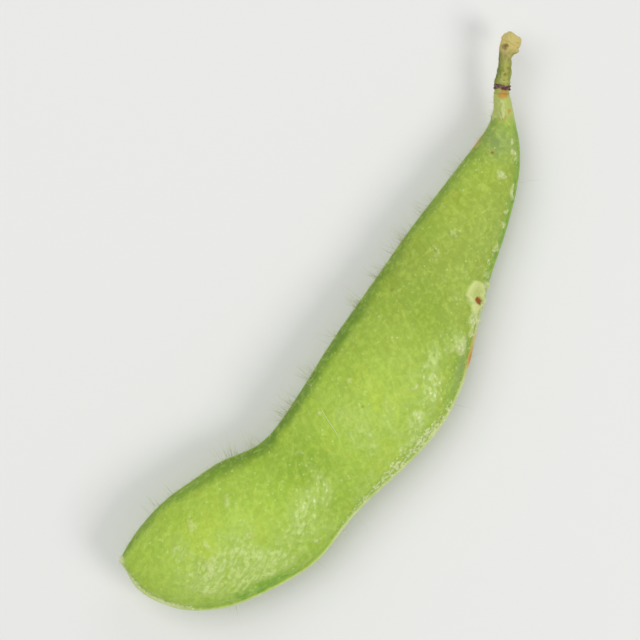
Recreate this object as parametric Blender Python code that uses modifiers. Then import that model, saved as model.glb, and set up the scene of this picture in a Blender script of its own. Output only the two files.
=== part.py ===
# One fresh edamame pod as picked, lying on the plane z = 0: the hull with its
# beak, the calyx ring where it broke from the truss, and the short stalk stub.
# Units are metres and +Z is up. +X runs from the beak to the stalk, and +Y points
# to the hollow side of the bow.

import math

import bmesh
import bpy
import numpy as np
from mathutils import Vector

MM = 0.001

# Driving dimensions, in millimetres.
LENGTH_SCALE = 1.0        # 1.0 gives a hull 64 mm long
SEAM_SHARPNESS = 1.22     # 1 is an oval cross-section, more pinches it at the seams
REST_FLAT = 0.12          # how far each belly is pressed flat where it rests
STALK_RADIUS = 0.72
RING_RADIUS = 0.93
RING_DEPTH = 0.55
RING_ROUNDING = 0.15      # bevel width on the ring's two rims
JOINT_GAP = 0.32          # clear space between two neighbouring pieces

# The hull is a loft between its two seams. Each rib joins a point of the inner
# seam to a point of the outer one, with the hull's half thickness between them.
RIBS = [
    ((0.05, 0.42), (-0.18, 0.02), 0.15),
    ((0.90, 0.50), (-0.36, -1.25), 0.80),
    ((2.70, 0.75), (-0.75, -3.40), 1.85),
    ((5.20, 0.85), (-0.30, -5.80), 2.80),
    ((8.20, 0.55), (0.90, -8.40), 3.40),
    ((11.30, -0.25), (3.72, -11.36), 3.62),
    ((14.60, -1.25), (8.30, -13.76), 3.60),
    ((17.80, -2.75), (13.40, -15.30), 3.42),
    ((21.60, -3.30), (18.80, -15.22), 3.32),
    ((26.60, -2.82), (24.80, -15.82), 3.45),
    ((32.00, -2.10), (31.00, -16.28), 3.50),
    ((38.00, -1.60), (37.50, -14.95), 3.30),
    ((44.50, -1.05), (44.40, -11.60), 2.95),
    ((50.50, -0.80), (51.00, -9.00), 2.70),
    ((56.00, -0.60), (56.70, -6.30), 2.20),
    ((59.20, -0.35), (60.00, -3.70), 1.55),
    ((60.95, 0.42), (61.95, -1.45), 1.12),
    ((62.19, 1.53), (63.20, 0.05), 0.84),
]

# Where each bean swells the hull: centre along and across, reach along and
# across, and how much it adds to the half thickness.
BEANS = [
    ((8.6, -6.0), (7.0, 5.6), 1.05),
    ((30.0, -8.6), (7.6, 5.6), 1.10),
    ((49.6, -4.8), (6.4, 4.4), 0.95),
]
END_FADE = 0.5            # the smaller, the nearer to the hull's ends a swell stays full

# The seams' height above the resting plane at places along the hull: the pod lies
# on its beans' bellies.
SEAM_HEIGHT = [(0.0, 4.55), (9.0, 4.42), (30.0, 4.42), (49.0, 3.52), (63.0, 3.55)]

# The stalk's middle line from the ring to its cut end, with its width there as
# a share of the stalk's radius.
STALK_LINE = [
    ((63.19, 1.13, 3.56), 1.22),
    ((63.85, 1.58, 3.62), 1.08),
    ((64.55, 1.98, 3.70), 1.02),
    ((65.20, 2.45, 3.80), 0.98),
    ((65.85, 2.93, 3.90), 1.02),
    ((66.60, 3.22, 4.00), 1.34),
    ((67.35, 3.40, 4.08), 1.52),
    ((67.95, 3.48, 4.14), 1.36),
]

RIB_STEPS = 64            # faces along the hull
ROUND_STEPS = 40          # faces round the hull
STALK_STEPS = 18          # points along the stalk's curve
STALK_ROUND_STEPS = 4     # the curve's bevel resolution, a quarter of the way round
RING_STEPS = 24           # faces round the ring

# Colour and roughness of each material.
SKIN_LOOK = ((0.40, 0.55, 0.09), 0.45)
SCAR_LOOK = ((0.20, 0.11, 0.06), 0.75)
STEM_LOOK = ((0.42, 0.38, 0.10), 0.55)

COLLECTION_NAME = "edamame_pod"


def clear_scene():
    for item in list(bpy.data.objects):
        bpy.data.objects.remove(item, do_unlink=True)


def new_collection(name):
    collection = bpy.data.collections.new(name)
    bpy.context.scene.collection.children.link(collection)
    return collection


def new_material(name, look):
    colour, roughness = look
    material = bpy.data.materials.new(name)
    material.use_nodes = True
    shader = material.node_tree.nodes["Principled BSDF"]
    shader.inputs["Base Color"].default_value = (*colour, 1.0)
    shader.inputs["Roughness"].default_value = roughness
    shader.inputs["Metallic"].default_value = 0.0
    return material


def smooth_through(places, values, wanted):
    """Values of a natural cubic spline through the given places, at wanted."""
    places = np.asarray(places, float)
    values = np.asarray(values, float)
    count = len(places)
    gaps = np.diff(places)
    slopes = np.diff(values) / gaps
    matrix = np.eye(count)
    right = np.zeros(count)
    for i in range(1, count - 1):
        matrix[i, i - 1:i + 2] = gaps[i - 1], 2 * (gaps[i - 1] + gaps[i]), gaps[i]
        right[i] = 6 * (slopes[i] - slopes[i - 1])
    bend = np.linalg.solve(matrix, right)
    i = np.clip(np.searchsorted(places, wanted) - 1, 0, count - 2)
    before = wanted - places[i]
    after = places[i + 1] - wanted
    curved = (bend[i] * after**3 + bend[i + 1] * before**3) / (6 * gaps[i])
    start = (values[i] / gaps[i] - bend[i] * gaps[i] / 6) * after
    end = (values[i + 1] / gaps[i] - bend[i + 1] * gaps[i] / 6) * before
    return curved + start + end


def rib_at(along):
    """The inner and outer seam points and the half thickness, for along 0 to 1."""
    places = np.arange(len(RIBS))
    wanted = along * (len(RIBS) - 1)

    def column(pick):
        return smooth_through(places, [pick(rib) for rib in RIBS], wanted)

    inner = np.array([column(lambda rib: rib[0][axis]) for axis in (0, 1)])
    outer = np.array([column(lambda rib: rib[1][axis]) for axis in (0, 1)])
    return inner, outer, column(lambda rib: rib[2])


def bean_swell(x, y):
    total = 0.0
    for (centre_x, centre_y), (reach_x, reach_y), height in BEANS:
        away = ((x - centre_x) / reach_x) ** 2 + ((y - centre_y) / reach_y) ** 2
        total += height * math.exp(-away)
    return total


def seam_height(x):
    places = [place for place, _ in SEAM_HEIGHT]
    heights = [height for _, height in SEAM_HEIGHT]
    return smooth_through(places, heights, x)


def hull_point(along, angle):
    """One point of the hull, in metres: angle 0 is the inner seam, pi the outer."""
    inner, outer, thickness = rib_at(along)
    middle = (inner + outer) / 2
    x, y = middle + (inner - outer) / 2 * math.cos(angle)
    end_fade = math.sin(math.pi * along) ** END_FADE
    rise = math.copysign(abs(math.sin(angle)) ** SEAM_SHARPNESS, math.sin(angle))
    z = seam_height(x) + rise * (thickness + end_fade * bean_swell(x, y))
    return Vector((x, y, max(z - REST_FLAT, 0.0))) * MM * LENGTH_SCALE


def make_hull(collection, material):
    """A sphere whose rings are moved to the hull's ribs; its poles close the ends."""
    mesh = bpy.data.meshes.new("pod")
    shape = bmesh.new()
    bmesh.ops.create_uvsphere(
        shape, u_segments=ROUND_STEPS, v_segments=RIB_STEPS + 2, radius=1.0
    )
    last_ring = RIB_STEPS + 1
    for vert in shape.verts:
        ring = round(math.acos(max(-1.0, min(1.0, vert.co.z))) / math.pi * (last_ring + 1))
        angle = math.atan2(vert.co.y, vert.co.x)
        if 0 < ring <= last_ring:
            vert.co = hull_point((ring - 1) / (last_ring - 1), angle)
        else:
            end = 0.0 if ring == 0 else 1.0
            vert.co = (hull_point(end, 0.0) + hull_point(end, math.pi)) / 2
    bmesh.ops.recalc_face_normals(shape, faces=shape.faces)
    shape.to_mesh(mesh)
    shape.free()
    mesh.materials.append(material)
    mesh.shade_smooth()
    hull = bpy.data.objects.new("pod", mesh)
    collection.objects.link(hull)
    return hull


def make_stalk(collection, material):
    """A tube along the stalk's line that flares into the knob at its cut end."""
    places = np.arange(len(STALK_LINE))
    start = (RING_DEPTH / 2 + JOINT_GAP) / stalk_spacing()
    wanted = np.linspace(start, len(STALK_LINE) - 1, STALK_STEPS)
    line = [
        smooth_through(places, [point[axis] for point, _ in STALK_LINE], wanted)
        for axis in range(3)
    ]
    widths = smooth_through(places, [width for _, width in STALK_LINE], wanted)
    curve = bpy.data.curves.new("stalk", "CURVE")
    curve.dimensions = "3D"
    curve.bevel_depth = STALK_RADIUS * MM * LENGTH_SCALE
    curve.bevel_resolution = STALK_ROUND_STEPS
    curve.use_fill_caps = True
    spline = curve.splines.new("POLY")
    spline.points.add(STALK_STEPS - 1)
    for point, x, y, z, width in zip(spline.points, *line, widths):
        point.co = (*(Vector((x, y, z)) * MM * LENGTH_SCALE), 1.0)
        point.radius = width
    curve.materials.append(material)
    stalk = bpy.data.objects.new("stalk", curve)
    collection.objects.link(stalk)
    return stalk


def stalk_spacing():
    """The distance from the stalk line's first point to its second."""
    return (Vector(STALK_LINE[1][0]) - Vector(STALK_LINE[0][0])).length


def make_ring(collection, material):
    """The calyx ring: a short disc with rounded rims across the stalk's start."""
    bpy.ops.mesh.primitive_cylinder_add(
        vertices=RING_STEPS,
        radius=RING_RADIUS * MM * LENGTH_SCALE,
        depth=RING_DEPTH * MM * LENGTH_SCALE,
    )
    ring = bpy.context.active_object
    ring.name = "calyx_ring"
    ring.data.name = "calyx_ring"
    for other in list(ring.users_collection):
        other.objects.unlink(ring)
    collection.objects.link(ring)
    centre = Vector(STALK_LINE[0][0])
    heading = Vector(STALK_LINE[1][0]) - centre
    ring.location = centre * MM * LENGTH_SCALE
    ring.rotation_mode = "QUATERNION"
    ring.rotation_quaternion = heading.to_track_quat("Z", "X")
    bevel = ring.modifiers.new("rounded_rims", "BEVEL")
    bevel.width = RING_ROUNDING * MM * LENGTH_SCALE
    bevel.segments = 2
    ring.data.materials.append(material)
    return ring


def centre_on_origin(collection, pieces):
    """Parents the pieces to an empty that puts their box's middle over the origin."""
    graph = bpy.context.evaluated_depsgraph_get()
    corners = []
    for piece in pieces:
        seen = piece.evaluated_get(graph)
        mesh = seen.to_mesh()
        corners += [seen.matrix_world @ vert.co for vert in mesh.vertices]
        seen.to_mesh_clear()
    low = Vector([min(corner[axis] for corner in corners) for axis in range(3)])
    high = Vector([max(corner[axis] for corner in corners) for axis in range(3)])
    holder = bpy.data.objects.new("pod_holder", None)
    collection.objects.link(holder)
    holder.location = (-(low.x + high.x) / 2, -(low.y + high.y) / 2, -low.z)
    for piece in pieces:
        piece.parent = holder


def main():
    clear_scene()
    collection = new_collection(COLLECTION_NAME)
    skin = new_material("pod_skin", SKIN_LOOK)
    scar = new_material("calyx_scar", SCAR_LOOK)
    stem = new_material("stalk_skin", STEM_LOOK)
    hull = make_hull(collection, skin)
    ring = make_ring(collection, scar)
    stalk = make_stalk(collection, stem)
    centre_on_origin(collection, [hull, ring, stalk])


main()
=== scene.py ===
import math
import bpy
import numpy as np
from mathutils import Matrix, Vector
from mathutils.bvhtree import BVHTree


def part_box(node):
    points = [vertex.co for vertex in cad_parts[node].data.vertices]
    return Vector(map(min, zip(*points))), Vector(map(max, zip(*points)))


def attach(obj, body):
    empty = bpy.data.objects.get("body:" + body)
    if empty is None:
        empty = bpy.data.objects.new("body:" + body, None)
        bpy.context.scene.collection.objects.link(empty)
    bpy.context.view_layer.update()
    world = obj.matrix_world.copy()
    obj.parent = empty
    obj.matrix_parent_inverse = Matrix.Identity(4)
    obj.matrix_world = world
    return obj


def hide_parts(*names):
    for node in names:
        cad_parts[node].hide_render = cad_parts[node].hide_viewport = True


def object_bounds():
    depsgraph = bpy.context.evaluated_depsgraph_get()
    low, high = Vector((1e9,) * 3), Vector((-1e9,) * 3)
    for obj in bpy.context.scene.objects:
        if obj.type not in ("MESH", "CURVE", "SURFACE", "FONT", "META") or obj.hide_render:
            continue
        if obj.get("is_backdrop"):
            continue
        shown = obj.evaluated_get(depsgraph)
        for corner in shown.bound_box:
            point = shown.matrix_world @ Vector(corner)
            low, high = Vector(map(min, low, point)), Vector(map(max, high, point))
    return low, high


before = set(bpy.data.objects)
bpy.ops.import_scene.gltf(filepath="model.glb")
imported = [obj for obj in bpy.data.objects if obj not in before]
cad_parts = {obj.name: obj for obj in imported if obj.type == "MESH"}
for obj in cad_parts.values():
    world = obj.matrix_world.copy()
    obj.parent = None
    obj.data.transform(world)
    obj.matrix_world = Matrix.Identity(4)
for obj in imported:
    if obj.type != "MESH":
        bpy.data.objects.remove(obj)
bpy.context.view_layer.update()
mm = 0.001
print("frame loaded:", ", ".join(sorted(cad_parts)))


def smoothThrough(places, values, wanted):  # natural cubic spline
    places = np.asarray(places, float)
    values = np.asarray(values, float)
    wanted = np.asarray(wanted, float)
    count = len(places)
    gaps = np.diff(places)
    slopes = np.diff(values) / gaps
    matrix = np.eye(count)
    right = np.zeros(count)
    for i in range(1, count - 1):
        matrix[i, i - 1:i + 2] = gaps[i - 1], 2 * (gaps[i - 1] + gaps[i]), gaps[i]
        right[i] = 6 * (slopes[i] - slopes[i - 1])
    bend = np.linalg.solve(matrix, right)
    i = np.clip(np.searchsorted(places, wanted) - 1, 0, count - 2)
    before = wanted - places[i]
    after = places[i + 1] - wanted
    curved = (bend[i] * after**3 + bend[i + 1] * before**3) / (6 * gaps[i])
    start = (values[i] / gaps[i] - bend[i] * gaps[i] / 6) * after
    end = (values[i + 1] / gaps[i] - bend[i + 1] * gaps[i] / 6) * before
    return curved + start + end


def smoothStep(low, high, value):
    t = np.clip((value - low) / (high - low), 0, 1)
    return t * t * (3 - 2 * t)


def bell(value, centre, reach):
    return np.exp(-((value - centre) / reach) ** 2)


def patchNoise(x, y, size, seed):  # smooth random field from -1 to 1, size in mm
    table = np.random.default_rng(seed).uniform(-1, 1, (64, 64))
    u, v = x / size, y / size
    i, j = np.floor(u).astype(int), np.floor(v).astype(int)
    a, b = u - i, v - j
    a, b = a * a * (3 - 2 * a), b * b * (3 - 2 * b)
    pick = lambda di, dj: table[(i + di) % 64, (j + dj) % 64]
    low = pick(0, 0) * (1 - a) + pick(1, 0) * a
    high = pick(0, 1) * (1 - a) + pick(1, 1) * a
    return low * (1 - b) + high * b


def meshFromRows(name, rows, startPoint, endPoint):  # rings of points closed by a pole at each end
    count, around = rows.shape[:2]
    points = np.vstack([startPoint, rows.reshape(-1, 3), endPoint])
    ring = np.arange(around)
    following = (ring + 1) % around
    faces = [(0, 1 + b, 1 + a) for a, b in zip(ring, following)]
    for row in range(count - 1):
        low = 1 + row * around
        high = low + around
        faces += [(low + a, low + b, high + b, high + a) for a, b in zip(ring, following)]
    last = 1 + (count - 1) * around
    faces += [(last + a, last + b, len(points) - 1) for a, b in zip(ring, following)]
    mesh = bpy.data.meshes.new(name)
    mesh.from_pydata(points.tolist(), [], faces)
    mesh.update()
    return mesh


def facesOut(mesh):  # turns the faces round if the closed mesh holds a negative volume
    mesh.calc_loop_triangles()
    corners = cornersOf(mesh)
    triangles = np.zeros(len(mesh.loop_triangles) * 3, int)
    mesh.loop_triangles.foreach_get("vertices", triangles)
    a, b, c = (corners[triangles.reshape(-1, 3)[:, k]] for k in range(3))
    if np.einsum("ij,ij->i", a, np.cross(b, c)).sum() < 0:
        mesh.flip_normals()


def pieceFromMesh(mesh):
    mesh.shade_smooth()
    piece = bpy.data.objects.new(mesh.name, mesh)
    bpy.context.scene.collection.objects.link(piece)
    return piece


def storeValues(mesh, name, values):
    layer = mesh.attributes.new(name, "FLOAT", "POINT")
    layer.data.foreach_set("value", np.asarray(values, np.float32).ravel())


def storeRows(mesh, name, rows, startValue=0.0, endValue=0.0):  # over the rings and the two poles
    storeValues(mesh, name, np.concatenate([[startValue], np.ravel(rows), [endValue]]))


def cornersOf(mesh):
    corners = np.zeros(len(mesh.vertices) * 3)
    mesh.vertices.foreach_get("co", corners)
    return corners.reshape(-1, 3)


def feed(tree, target, source):  # a socket takes another socket, or a plain value
    if isinstance(source, bpy.types.NodeSocket):
        tree.links.new(source, target)
    else:
        target.default_value = source


def addNode(tree, kind, given=None, **settings):  # given says what each named socket takes
    node = tree.nodes.new(kind)
    for name, value in settings.items():
        setattr(node, name, value)
    for name, source in (given or {}).items():
        feed(tree, node.inputs[name], source)
    return node


def calc(tree, operation, *values):
    node = addNode(tree, "ShaderNodeMath", operation=operation)
    for socket, value in zip(node.inputs, values):
        feed(tree, socket, value)
    return node.outputs[0]


def remap(tree, value, fromLow, fromHigh, toLow=0.0, toHigh=1.0):
    return addNode(tree, "ShaderNodeMapRange", {
        "Value": value, "From Min": fromLow, "From Max": fromHigh, "To Min": toLow, "To Max": toHigh,
    }, interpolation_type="SMOOTHSTEP").outputs["Result"]


def noise(tree, vector, scale, detail=3.0, roughness=0.55, distortion=0.0):
    return addNode(tree, "ShaderNodeTexNoise", {
        "Vector": vector, "Scale": scale, "Detail": detail, "Roughness": roughness,
        "Distortion": distortion}).outputs[0]


def cells(tree, vector, scale, **settings):
    return addNode(tree, "ShaderNodeTexVoronoi", {"Vector": vector, "Scale": scale}, **settings)


def scaled(tree, vector, factor):
    return addNode(tree, "ShaderNodeVectorMath", {0: vector, "Scale": factor},
                   operation="SCALE").outputs[0]


def bumped(tree, height, under=None):  # height in mm, over another normal if there is one
    node = addNode(tree, "ShaderNodeBump", {"Height": height, "Distance": mm})
    if under is not None:
        feed(tree, node.inputs["Normal"], under)
    return node.outputs[0]


def mixColours(tree, share, *colours):  # each a plain colour or another node's
    first, second = ((*colour, 1.0) if isinstance(colour, tuple) else colour for colour in colours)
    return addNode(tree, "ShaderNodeMix", {0: share, 6: first, 7: second}, data_type="RGBA").outputs[2]


def layered(tree, colour, layers, colours):  # each layer is a mask and the name of its colour
    for share, name in layers:
        colour = mixColours(tree, share, colour, colours[name])
    return colour


def combine(tree, x, y, z):
    return addNode(tree, "ShaderNodeCombineXYZ", {"X": x, "Y": y, "Z": z}).outputs[0]


hull = {
    "ribs": [  # inner seam point, outer seam point, half thickness, in mm
        ((0.05, 0.42), (-0.18, 0.02), 0.15),
        ((0.90, 0.50), (-0.36, -1.25), 0.80),
        ((2.70, 0.75), (-0.75, -3.40), 1.85),
        ((5.20, 0.85), (-0.30, -5.80), 2.80),
        ((8.20, 0.55), (0.90, -8.40), 3.40),
        ((11.30, -0.25), (3.72, -11.36), 3.62),
        ((14.60, -1.25), (8.30, -13.76), 3.60),
        ((17.80, -2.75), (13.40, -15.30), 3.42),
        ((21.60, -3.30), (18.80, -15.22), 3.32),
        ((26.60, -2.82), (24.80, -15.82), 3.45),
        ((32.00, -2.10), (31.00, -16.28), 3.50),
        ((38.00, -1.60), (37.50, -14.95), 3.30),
        ((44.50, -1.05), (44.40, -11.60), 2.95),
        ((50.50, -0.80), (51.00, -9.00), 2.70),
        ((56.00, -0.60), (56.70, -6.30), 2.20),
        ((59.20, -0.35), (60.00, -3.70), 1.55),
        ((60.95, 0.42), (61.95, -1.45), 1.12),
        ((62.19, 1.53), (63.20, 0.05), 0.84),
    ],
    "beans": [((8.6, -6.0), (7.0, 5.6), 1.05), ((30.0, -8.6), (7.6, 5.6), 1.10),
              ((49.6, -4.8), (6.4, 4.4), 0.95)],
    "seamHeight": [(0.0, 4.55), (9.0, 4.42), (30.0, 4.42), (49.0, 3.52), (63.0, 3.55)],
    "seamSharpness": 1.22,
    "restFlat": 0.12,
    "rows": 432,
    "around": 216,
    "beakLength": 0.06,     # the blunt dry tip of the beak
    "rimHeight": 0.19,      # the cord along the outer seam
    "rimReach": 0.28,
    "creaseDepth": 0.12,    # the fold beside it
    "innerRimHeight": 0.07,
}

# Pale crusts, in the hull's own plane: centre, length and width in mm, turn in degrees, strength.
paleMarks = [
    ((44.0, -10.3), 0.55, 0.30, 60, 0.8),
    ((43.6, -11.35), 0.9, 0.42, 36, 1.0), ((44.9, -11.3), 1.2, 0.26, 26, 1.0),
    ((42.6, -12.0), 0.9, 0.36, 34, 1.0), ((46.5, -10.75), 0.4, 0.24, 10, 0.9),
    ((46.3, -10.6), 0.60, 0.24, 20, 0.75), ((42.0, -12.4), 1.1, 0.30, 32, 0.8),
    ((39.9, -12.7), 1.0, 0.42, 15, 0.75), ((39.0, -12.2), 0.4, 0.3, 15, 0.7),
    ((55.9, -4.6), 0.56, 0.50, 0, 0.72),
    ((55.3, -6.55), 0.75, 0.22, 38, 0.9), ((59.3, -3.15), 0.42, 0.15, 62, 0.9),
    ((58.5, -4.1), 0.32, 0.22, 30, 0.85), ((58.1, -4.6), 0.24, 0.16, 20, 0.75),
    ((53.4, -7.2), 0.32, 0.22, 10, 0.85), ((52.2, -8.05), 0.32, 0.14, 0, 0.8),
    ((49.7, -9.1), 0.45, 0.26, 20, 0.85), ((47.2, -10.0), 0.36, 0.2, 0, 0.7),
    ((43.2, -9.0), 0.14, 0.14, 0, 0.9), ((8.0, -3.0), 0.60, 0.36, 70, 0.42),
    ((12.3, -4.2), 0.70, 0.26, 58, 0.55), ((5.2, -3.4), 0.30, 0.18, 0, 0.6),
    ((7.4, -5.4), 0.50, 0.26, 75, 0.45), ((6.6, -6.9), 0.8, 0.2, 5, 0.5),
    ((5.6, -7.6), 0.8, 0.22, 12, 0.4), ((9.3, -6.0), 0.5, 0.14, -60, 0.4),
    ((11.0, -8.3), 0.32, 0.24, 30, 0.75), ((14.7, -14.1), 0.30, 0.2, 0, 0.8),
    ((20.6, -6.7), 0.45, 0.16, -40, 0.5), ((29.4, -5.9), 0.3, 0.14, 0, 0.55),
    ((61.0, -0.80), 0.30, 0.20, 30, 1.0), ((60.6, -0.55), 0.22, 0.14, 40, 0.8),
    ((61.4, -0.35), 0.50, 0.16, 45, 0.5), ((60.2, -0.1), 0.45, 0.18, 40, 0.45),
    ((61.9, 0.15), 0.20, 0.12, 0, 0.5),
    ((33.4, -11.6), 0.22, 0.16, 0, 0.8), ((25.2, -5.9), 0.26, 0.2, 60, 0.75),
    ((36.7, -4.2), 0.14, 0.12, 0, 0.8), ((43.1, -9.3), 0.14, 0.12, 0, 0.7),
    ((45.5, -4.4), 0.75, 0.12, 62, 0.5), ((45.0, -4.8), 0.55, 0.11, 46, 0.4),
    ((48.1, -4.6), 0.45, 0.12, 68, 0.65), ((43.9, -6.9), 0.50, 0.10, 60, 0.35),
    ((0.1, 0.4), 0.42, 0.36, 0, 1.0), ((46.0, -10.55), 0.5, 0.42, 20, 0.6),
]
scabMarks = [((44.90, -10.30), 1.28, 0.90, 24, 1.0), ((44.05, -10.98), 1.20, 0.46, 32, 1.0)]
scabHollows = [((44.95, -10.40), 0.95, 0.52, 24, 0.45)]
brownMarks = [
    ((44.38, -10.98), 0.42, 0.33, 50, 1.0), ((57.1, -2.35), 0.17, 0.15, 0, 0.75),
    ((28.5, -8.7), 0.16, 0.14, 0, 0.45), ((39.6, -3.4), 0.18, 0.15, 0, 0.3),
    ((15.9, -15.1), 0.14, 0.1, 0, 0.5),
]
orangeMarks = [
    ((32.8, -15.75), 0.26, 0.12, 10, 0.6), ((31.9, -15.85), 0.18, 0.10, 10, 0.5),
    ((62.60, 0.55), 0.58, 0.42, -40, 0.80), ((61.65, -1.0), 0.26, 0.16, 20, 0.7),
    ((60.75, -1.15), 0.24, 0.12, 30, 0.6), ((60.3, -0.8), 0.16, 0.10, 30, 0.5),
    ((11.7, -14.6), 0.10, 0.08, 0, 0.5),
]

# Where the skin is loose and whitish, in the same terms. Its pale colour there is partly its own and partly
# painted sheen off the wrinkles.
frostAndSheenAreas = [
    ((7.4, -10.2), 5.6, 2.8, -42, 0.78), ((8.5, -7.4), 3.0, 1.5, -15, 0.50),
    ((13.0, -12.0), 3.8, 1.5, -12, 0.56), ((18.2, -10.6), 2.6, 1.3, 24, 0.62),
    ((30.2, -14.6), 3.2, 1.0, 2, 0.98), ((33.7, -13.3), 2.0, 1.2, 60, 0.60),
    ((36.0, -12.2), 2.2, 0.9, 62, 0.72), ((26.3, -10.4), 2.6, 1.2, 66, 0.55),
    ((29.3, -11.8), 2.0, 0.9, 64, 0.45), ((38.6, -11.0), 1.2, 0.5, 62, 0.38),
    ((39.8, -12.6), 1.3, 0.7, 24, 0.68), ((23.2, -14.4), 3.2, 0.9, 0, 0.34),
    ((5.0, -4.8), 2.4, 1.4, 70, 0.35),
]


def ribsAt(along):  # along runs from 0 at the beak to 1 at the neck
    places = np.arange(len(hull["ribs"]))
    wanted = along * (len(places) - 1)
    inner = np.stack([smoothThrough(places, [rib[0][k] for rib in hull["ribs"]], wanted)
                      for k in (0, 1)], -1)
    outer = np.stack([smoothThrough(places, [rib[1][k] for rib in hull["ribs"]], wanted)
                      for k in (0, 1)], -1)
    return inner, outer, smoothThrough(places, [rib[2] for rib in hull["ribs"]], wanted)


def beanSwell(x, y):
    total = 0
    for (centreX, centreY), (reachX, reachY), height in hull["beans"]:
        total = total + height * np.exp(-((x - centreX) / reachX) ** 2
                                        - ((y - centreY) / reachY) ** 2)
    return total


def evenRows(count):  # places along the hull that step evenly over its length
    fine = np.linspace(0, 1, 3000)
    inner, outer, _ = ribsAt(fine)
    middle = (inner + outer) / 2
    step = np.hypot(*np.diff(middle, axis=0).T)
    length = np.concatenate([[0], np.cumsum(step)])
    wanted = np.linspace(0, length[-1], count)
    return np.interp(wanted, length, fine), wanted


def marksOver(x, y, marks, rim=1.5, core=0.55):
    total = np.zeros_like(x)
    for (centreX, centreY), length, width, turn, strength in marks:
        c, s = math.cos(math.radians(turn)), math.sin(math.radians(turn))
        a = ((x - centreX) * c + (y - centreY) * s) / length
        b = ((y - centreY) * c - (x - centreX) * s) / width
        total = np.maximum(total, strength * smoothStep(rim, core, a * a + b * b))
    return total


def skinSurface():  # the hull's rows of points in mm, with what the finish needs at each
    along, length = evenRows(hull["rows"])
    angle = np.linspace(0, 2 * math.pi, hull["around"], endpoint=False)
    inner, outer, thickness = ribsAt(along)
    middle = ((inner + outer) / 2)[:, None]
    reach = ((inner - outer) / 2)[:, None]
    plane = middle + reach * np.cos(angle)[None, :, None]
    x, y = plane[..., 0], plane[..., 1]
    swell = beanSwell(x, y)
    rise = np.sign(np.sin(angle)) * np.abs(np.sin(angle)) ** hull["seamSharpness"]
    endFade = np.sin(math.pi * np.clip(along, 0, 1))[:, None].clip(0) ** 0.5
    seamPlaces, seamHeights = zip(*hull["seamHeight"])
    z = smoothThrough(seamPlaces, seamHeights, x) - hull["restFlat"]
    z = z + rise * (thickness[:, None] + endFade * swell)
    points = np.stack([x, y, z], -1)
    step = np.linalg.norm(np.roll(points, -1, axis=1) - points, axis=-1)
    half = hull["around"] // 2
    fromInner = np.zeros_like(x)
    fromInner[:, 1:half + 1] = np.cumsum(step[:, :half], axis=1)
    fromInner[:, half + 1:] = fromInner[:, half - 1:0:-1]
    fromOuter = fromInner[:, half:half + 1] - fromInner
    up = np.broadcast_to(np.where(np.sin(angle) >= 0, 1.0, -1.0), x.shape)
    return points, {
        "planeX": x, "planeY": y, "swell": swell, "up": up,
        "arc": np.broadcast_to(length[:, None], x.shape),
        "across": (fromOuter - fromInner) / 2,
        "fromInner": fromInner, "fromOuter": fromOuter,  # along the skin
        "edgeInner": np.linalg.norm(plane - inner[:, None], axis=-1),  # as seen from above
        "edgeOuter": np.linalg.norm(plane - outer[:, None], axis=-1),
    }


def rowNormals(points):
    alongWay = np.gradient(points, axis=0)
    aroundWay = np.roll(points, -1, axis=1) - np.roll(points, 1, axis=1)
    normal = np.cross(aroundWay, alongWay)
    normal /= np.linalg.norm(normal, axis=-1, keepdims=True).clip(1e-9)
    centre = points.mean(axis=1, keepdims=True)
    outward = np.einsum("ijk,ijk->ij", normal, points - centre).mean()
    return normal * np.sign(outward)


skinZones = {
    # patches: middle, reach along and across, lean, how much
    # painted highlights where the light catches the wrinkles
    "paintedGlints": [((18.2, -10.6), (2.2, 2.0), 0, 0.85), ((34.0, -13.0), (3.4, 2.0), 0, 1.0),
               ((29.8, -14.8), (2.4, 0.8), 0, 1.0)],
    # painted shade in the valleys between the beans, where the skin also sinks
    "valleys": [((19.6, -7.6), (2.7, 4.6), 0.25, 1.0), ((40.6, -7.0), (2.4, 4.0), -0.1, 0.55),
                ((18.2, -13.2), (1.8, 1.1), 0, 0.50)],
    # swells along the hull: middle, reach, how much
    "crustWide": [(27.5, 7.0, 1.25), (42.5, 3.5, 0.50)],
    "crustStrong": [(27.5, 9.0, 1.2), (42.5, 3.0, 0.8), (-0.2, 1.9, 1.3)],
    # the darker inner margin: partly its own green, partly painted shade where the skin turns away from the
    # light
    "marginWide": [(33, 13, 0.55), (13.5, 5.0, 0.95)],
    # the dark band inside the outer seam: partly its own green, partly painted shade
    "outerDark": [(37.5, 3.0, 0.6)],
    "outerClumped": [(7.6, 5.2, 1.2)],
    "burntOuter": [(39.8, 1.6, 1.0)],
    "burntInner": [(57.3, 0.8, 0.8)],
    # ramps along the hull: where they start and where they are full
    "steeper": (18.5, 24.5),
    "olive": (27, 44),
    "neck": (59.2, 61.4),
    # painted shade of the lifted underside along the outer seam towards the neck
    "undersideShade": (43, 49),
    "upperNeck": (42, 47),
    "cordThins": (18, 13),
    "cordFades": (42, 47),
    "crustFades": (46, 49),
    "crumbsStart": (45, 48),
    "crumbsEnd": (61, 58),
    # where the painted shade of the inner margin eases
    "marginPalesLeft": (20, 14),
    "marginPalesRight": (34, 44),
    # painted light over the beak
    "beakHighlight": (6, 1),
    "beakEnd": (4, 1),
    "hiddenShift": 61,      # mm; the hidden side carries the marks the other way round
}


def patched(x, y, name):
    return sum(much * bell(x + lean * (y + 8), middle[0], reach[0]) * bell(y, middle[1], reach[1])
               for middle, reach, lean, much in skinZones[name])


def swelling(x, name):
    return sum(much * bell(x, middle, reach) for middle, reach, much in skinZones[name])


def ramp(x, name):
    return smoothStep(*skinZones[name], x)


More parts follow.
